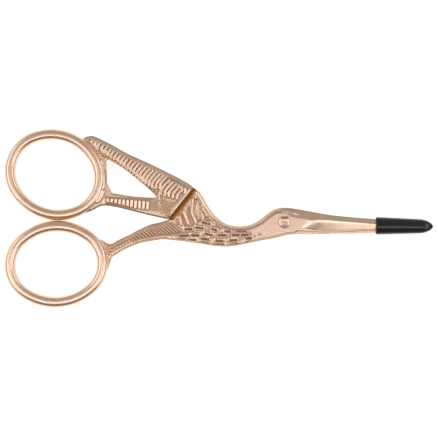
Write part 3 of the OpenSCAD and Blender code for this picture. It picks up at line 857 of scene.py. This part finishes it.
# ------------------------------------------------------------------------------------------------ the pivot screw
def screw_field(x, y, z, grid):
    if grid:
        x, y, z = x[:, None, None], y[None, :, None], z[None, None, :]
    dx, dy = x - PIVOT[0], y - PIVOT[1]
    r = np.sqrt(dx * dx + dy * dy)
    dish = 3.12 + 0.27 * sstep(0.80, 1.50, r)
    head = smax(smax(r - 1.56, z - dish, 0.06), 2.66 - z, 0.05)
    slot = smax(smax(np.abs(dy + 0.12 * dx) - 0.07, 3.08 - z, 0.03), np.abs(dx) - 0.78, 0.05)
    head = smax(head, -slot, 0.06)
    shank = smax(smax(r - 0.985, z - 2.8, 0.02), 0.26 - z, 0.12)
    return smin(head, shank, 0.05)


SC_H = 0.052
screw_axes = [np.arange(a, b, SC_H) for a, b in ((PIVOT[0] - 1.81, PIVOT[0] + 1.85), (PIVOT[1] - 1.81, PIVOT[1] + 1.85),
                                                 (0.085, 3.8))]
screw_ob = sculpt("pivot_screw_head", screw_field, screw_axes, SC_H, lambda v: np.zeros(len(v)), eps=0.02)
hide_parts("pivot_screw")
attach(screw_ob, "rear")


# ------------------------------------------------------------------------------------------------ the tip guard
def cap_mesh():
    L, X0, W = 15.5, 42.45, 0.32
    n = 96

    def loop(u, w, l, dome=3.7):
        r = 1.0 if u < l - dome else max(0.0, 1 - abs((u - l + dome) / dome) ** 2.1) ** 0.60
        hy, hz, cy = 2.375 - 0.5 * u / 13, 1.8 - 0.3 * u / 13, -2.03 - 0.15 * u / 13
        a = 2 * np.pi * np.arange(n) / n
        c, s = np.cos(a), np.sin(a)
        e = 0.90
        return np.stack([np.full(n, X0 + u), cy + np.sign(c) * np.abs(c) ** e * max(hy - w, 0) * r,
                         MID + np.sign(s) * np.abs(s) ** e * max(hz - w, 0) * r], 1)

    loops = []
    # inside, from the closed end to the mouth
    li = L - 0.4
    for t in np.linspace(0.02, 1, 10):
        loops.append(loop(li - 3.7 + 3.7 * math.cos(t * math.pi / 2), W + 0.01, li))
    for u in (9.0, 6.0, 3.0, 1.0, 0.3):
        loops.append(loop(u, W + 0.01, li))
    # rounded lip
    for k in range(7):
        a = math.pi * k / 6
        w = W / 2 + 0.01 + (W / 2 - 0.005) * math.cos(a)
        loops.append(loop(max(0.17 - 0.16 * math.sin(a), 0.004), w, L))
    # outside, with the faint swell of a dipped guard
    for u in list(np.linspace(0.4, L - 3.7, 26)) + [L - 3.7 + 3.695 * math.sin(t * math.pi / 2) for t in np.linspace(0.04, 1, 28)]:
        sw = 0.012 + 0.010 * math.sin(u * 1.7) * (1 - sstep(10.5, 12.5, u)) if u > 0.5 else 0.012
        loops.append(loop(u, sw, L))
    pts = np.concatenate(loops)
    m = len(loops)
    faces = []
    for k in range(m - 1):
        for i in range(n):
            j = (i + 1) % n
            faces.append((k * n + i, (k + 1) * n + i, (k + 1) * n + j, k * n + j))
    a, b = len(pts), len(pts) + 1
    pts = np.concatenate([pts, [[X0 + li, -2.03 - 0.15 * li / 13, MID], [X0 + L - 0.002, -2.03 - 0.15 * L / 13, MID]]])
    for i in range(n):
        j = (i + 1) % n
        faces.append((a, i, j))
        faces.append((b, (m - 1) * n + j, (m - 1) * n + i))
    me = bpy.data.meshes.new("tip_guard")
    me.from_pydata([tuple(p * 1e-3) for p in pts], [], faces)
    me.validate()
    me.polygons.foreach_set("use_smooth", np.ones(len(me.polygons), bool))
    ob = bpy.data.objects.new("tip_guard", me)
    bpy.context.scene.collection.objects.link(ob)
    import bmesh
    bm = bmesh.new()
    bm.from_mesh(me)
    bmesh.ops.recalc_face_normals(bm, faces=bm.faces)
    bm.to_mesh(me)
    bm.free()
    return ob


cap_ob = cap_mesh()
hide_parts("tip_cap")
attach(cap_ob, "guard")


# ------------------------------------------------------------------------------------------------ materials
def node(nt, kind, **kw):
    n = nt.nodes.new(kind)
    for k, v in kw.items():
        setattr(n, k, v)
    return n


def plated(name, base, pink, painted_hollow_shade, rough):
    """Polished plating with a faint change of tone and fine polishing lines, duller and darker in the hollows where the
    darker colour is painted shade, and with a painted orange tone of light reflected between gold faces where the
    bounce mask is set.
    """
    m = bpy.data.materials.new(name)
    m.use_nodes = True
    nt = m.node_tree
    bsdf = nt.nodes["Principled BSDF"]
    bsdf.inputs["Metallic"].default_value = 1.0
    tc = node(nt, "ShaderNodeTexCoord")
    big = node(nt, "ShaderNodeTexNoise")
    big.inputs["Scale"].default_value = 160.0
    big.inputs["Detail"].default_value = 3.0
    nt.links.new(tc.outputs["Object"], big.inputs["Vector"])
    ramp = node(nt, "ShaderNodeMapRange")
    ramp.inputs["From Min"].default_value = 0.35
    ramp.inputs["From Max"].default_value = 0.65
    nt.links.new(big.outputs["Fac"], ramp.inputs["Value"])
    tone = node(nt, "ShaderNodeMix", data_type="RGBA")
    tone.inputs["A"].default_value = (*base, 1)
    tone.inputs["B"].default_value = (*pink, 1)
    nt.links.new(ramp.outputs["Result"], tone.inputs["Factor"])
    # painted shade: the colour goes towards a darker brown by the depth of the hollows
    at = node(nt, "ShaderNodeAttribute", attribute_name="cavity", attribute_type="GEOMETRY")
    cav = node(nt, "ShaderNodeMapRange")
    cav.inputs["From Min"].default_value = 0.05
    cav.inputs["From Max"].default_value = 0.75
    nt.links.new(at.outputs["Fac"], cav.inputs["Value"])
    dark = node(nt, "ShaderNodeMix", data_type="RGBA")
    dark.inputs["B"].default_value = (*painted_hollow_shade, 1)
    nt.links.new(tone.outputs["Result"], dark.inputs["A"])
    nt.links.new(cav.outputs["Result"], dark.inputs["Factor"])
    # painted reflected light: where the bounce mask is set, an orange tone of light bounced between gold faces, going
    # to a painted dark brown shade in the hollows
    wa = node(nt, "ShaderNodeAttribute", attribute_name="painted_bounce", attribute_type="GEOMETRY")
    rich = node(nt, "ShaderNodeMix", data_type="RGBA")
    painted_bounce = node(nt, "ShaderNodeMix", data_type="RGBA")
    painted_bounce.inputs["A"].default_value = (0.92, 0.68, 0.42, 1)
    painted_bounce.inputs["B"].default_value = (0.34, 0.17, 0.05, 1)
    nt.links.new(cav.outputs["Result"], painted_bounce.inputs["Factor"])
    nt.links.new(painted_bounce.outputs["Result"], rich.inputs["B"])
    nt.links.new(dark.outputs["Result"], rich.inputs["A"])
    nt.links.new(wa.outputs["Fac"], rich.inputs["Factor"])
    nt.links.new(rich.outputs["Result"], bsdf.inputs["Base Color"])
    # roughness: polished on top, satin in the hollows, broken by fine wear
    fine = node(nt, "ShaderNodeTexNoise")
    fine.inputs["Scale"].default_value = 900.0
    fine.inputs["Detail"].default_value = 4.0
    mp = node(nt, "ShaderNodeMapping")
    mp.inputs["Scale"].default_value = (0.8, 1.2, 1.0)
    nt.links.new(tc.outputs["Object"], mp.inputs["Vector"])
    nt.links.new(mp.outputs["Vector"], fine.inputs["Vector"])
    r1 = node(nt, "ShaderNodeMapRange")
    r1.inputs["From Min"].default_value = 0.3
    r1.inputs["From Max"].default_value = 0.7
    r1.inputs["To Min"].default_value = rough - 0.02
    r1.inputs["To Max"].default_value = rough + 0.03
    nt.links.new(fine.outputs["Fac"], r1.inputs["Value"])
    r2 = node(nt, "ShaderNodeMath", operation="MULTIPLY_ADD")
    r2.inputs[1].default_value = 0.16
    nt.links.new(cav.outputs["Result"], r2.inputs[0])
    nt.links.new(r1.outputs["Result"], r2.inputs[2])
    nt.links.new(r2.outputs["Value"], bsdf.inputs["Roughness"])
    bump = node(nt, "ShaderNodeBump")
    bump.inputs["Strength"].default_value = 0.015
    bump.inputs["Distance"].default_value = 0.00004
    nt.links.new(fine.outputs["Fac"], bump.inputs["Height"])
    nt.links.new(bump.outputs["Normal"], bsdf.inputs["Normal"])
    return m


def vinyl(name):
    """Glossy dipped vinyl: nearly black, a soft skin with faint dust and slow waves."""
    m = bpy.data.materials.new(name)
    m.use_nodes = True
    nt = m.node_tree
    bsdf = nt.nodes["Principled BSDF"]
    bsdf.inputs["Metallic"].default_value = 0.0
    bsdf.inputs["IOR"].default_value = 1.5
    tc = node(nt, "ShaderNodeTexCoord")
    n1 = node(nt, "ShaderNodeTexNoise")
    n1.inputs["Scale"].default_value = 220.0
    n1.inputs["Detail"].default_value = 2.0
    nt.links.new(tc.outputs["Object"], n1.inputs["Vector"])
    tone = node(nt, "ShaderNodeMix", data_type="RGBA")
    tone.inputs["A"].default_value = (0.009, 0.0065, 0.0075, 1)
    tone.inputs["B"].default_value = (0.017, 0.013, 0.0145, 1)
    nt.links.new(n1.outputs["Fac"], tone.inputs["Factor"])
    nt.links.new(tone.outputs["Result"], bsdf.inputs["Base Color"])
    n2 = node(nt, "ShaderNodeTexNoise")
    n2.inputs["Scale"].default_value = 2600.0
    n2.inputs["Detail"].default_value = 3.0
    nt.links.new(tc.outputs["Object"], n2.inputs["Vector"])
    r1 = node(nt, "ShaderNodeMapRange")
    r1.inputs["To Min"].default_value = 0.13
    r1.inputs["To Max"].default_value = 0.24
    nt.links.new(n2.outputs["Fac"], r1.inputs["Value"])
    nt.links.new(r1.outputs["Result"], bsdf.inputs["Roughness"])
    bump = node(nt, "ShaderNodeBump")
    bump.inputs["Strength"].default_value = 0.10
    bump.inputs["Distance"].default_value = 0.00005
    nt.links.new(n1.outputs["Fac"], bump.inputs["Height"])
    nt.links.new(bump.outputs["Normal"], bsdf.inputs["Normal"])
    return m


# the third colour given to each is the painted shade of its hollows
gold = plated("champagne_plating", (0.885, 0.658, 0.490), (0.870, 0.632, 0.480), (0.56, 0.40, 0.27), 0.28)
screw_gold = plated("screw_plating", (0.90, 0.66, 0.50), (0.88, 0.63, 0.48), (0.60, 0.43, 0.33), 0.26)
black = vinyl("black_vinyl")
for ob, m in ((front_ob, gold), (rear_ob, gold), (screw_ob, screw_gold), (cap_ob, black)):
    ob.data.materials.clear()
    ob.data.materials.append(m)


# ------------------------------------------------------------------------------------------------ stage, light, camera
def make_floor():
    me = bpy.data.meshes.new("floor")
    s = 2.5
    me.from_pydata([(-s, -s, -0.00002), (s, -s, -0.00002), (s, s, -0.00002), (-s, s, -0.00002)], [], [(0, 1, 2, 3)])
    ob = bpy.data.objects.new("floor", me)
    bpy.context.scene.collection.objects.link(ob)
    m = bpy.data.materials.new("pale_floor")
    m.use_nodes = True
    nt = m.node_tree
    b = nt.nodes["Principled BSDF"]
    b.inputs["Roughness"].default_value = 0.9
    b.inputs["Specular IOR Level"].default_value = 0.1
    b.inputs["Base Color"].default_value = (0.93, 0.93, 0.93, 1)
    b.inputs["Emission Color"].default_value = (1, 1, 1, 1)
    b.inputs["Emission Strength"].default_value = 0.54
    m.cycles.emission_sampling = "NONE"
    me.materials.append(m)
    return ob


def area(name, loc, target, sx, sy, radiance, color=(1, 1, 1), roll=0.0):
    li = bpy.data.lights.new(name, "AREA")
    li.shape = "RECTANGLE"
    li.size, li.size_y = sx, sy
    li.energy = radiance * math.pi * sx * sy
    li.color = color
    ob = bpy.data.objects.new(name, li)
    d = Vector(target) - Vector(loc)
    q = d.to_track_quat("-Z", "Y").to_matrix().to_4x4()
    ob.matrix_world = Matrix.Translation(Vector(loc)) @ q @ Matrix.Rotation(roll, 4, "Z")
    ob.visible_camera = False
    bpy.context.scene.collection.objects.link(ob)
    return ob


make_floor()
world = bpy.data.worlds.new("studio")
bpy.context.scene.world = world
world.use_nodes = True
world.cycles.sampling_method = "NONE"
# a soft grey room, paler towards the horizon
wt = world.node_tree
bg = wt.nodes["Background"]
tc = node(wt, "ShaderNodeTexCoord")
sep = node(wt, "ShaderNodeSeparateXYZ")
wt.links.new(tc.outputs["Generated"], sep.inputs["Vector"])


def ramp_of(axis, a, b, lo, hi):
    n = node(wt, "ShaderNodeMapRange", interpolation_type="SMOOTHSTEP")
    for k, v in (("From Min", a), ("From Max", b), ("To Min", lo), ("To Max", hi)):
        n.inputs[k].default_value = v
    wt.links.new(sep.outputs[axis], n.inputs["Value"])
    return n.outputs["Result"]


def blend_of(a, b, f):
    n = node(wt, "ShaderNodeMix", data_type="FLOAT")
    for k, v in (("A", a), ("B", b), ("Factor", f)):
        if isinstance(v, float):
            n.inputs[k].default_value = v
        else:
            wt.links.new(v, n.inputs[k])
    return n.outputs["Result"]


room = blend_of(ramp_of("Y", -0.75, 0.75, 0.30, 0.62), ramp_of("Y", -0.75, 0.75, 0.20, 0.42),
                ramp_of("Z", 0.06, 0.36, 0.0, 1.0))
room = blend_of(0.66, room, ramp_of("Z", 0.04, 0.11, 0.0, 1.0))
wt.links.new(room, bg.inputs["Strength"])
bg.inputs["Color"].default_value = (1.0, 0.95, 0.96, 1)

area("overhead_strip", (0.0, -0.155, 0.95), (0.0, -0.155, 0), 0.90, 0.15, 3.0, (1.0, 0.965, 0.975))
area("left_box", (-0.62, 0.0, 0.66), (0, 0, 0), 1.10, 0.28, 2.1)
area("right_box", (0.62, 0.0, 0.66), (0, 0, 0), 1.10, 0.28, 2.1)

cam_data = bpy.data.cameras.new("camera")
cam = bpy.data.objects.new("camera", cam_data)
bpy.context.scene.collection.objects.link(cam)
cam_data.type = "PERSP"
cam_data.sensor_width = 36.0
DIST = 0.70
cam_data.lens = 36.0 * (DIST - 0.003) / (438 * 0.27e-3)
cam_data.clip_start = 0.01
cam_data.clip_end = 20
cam.location = ((219.0 - 218.9) * 0.27e-3, (218.25 - 219.0) * 0.27e-3, DIST)
cam.rotation_euler = (0, 0, 0)
bpy.context.scene.camera = cam

sc = bpy.context.scene
sc.view_settings.view_transform = "Standard"
sc.view_settings.look = "None"
sc.view_settings.exposure = 0.0
sc.view_settings.gamma = 1.0

bpy.context.view_layer.update()
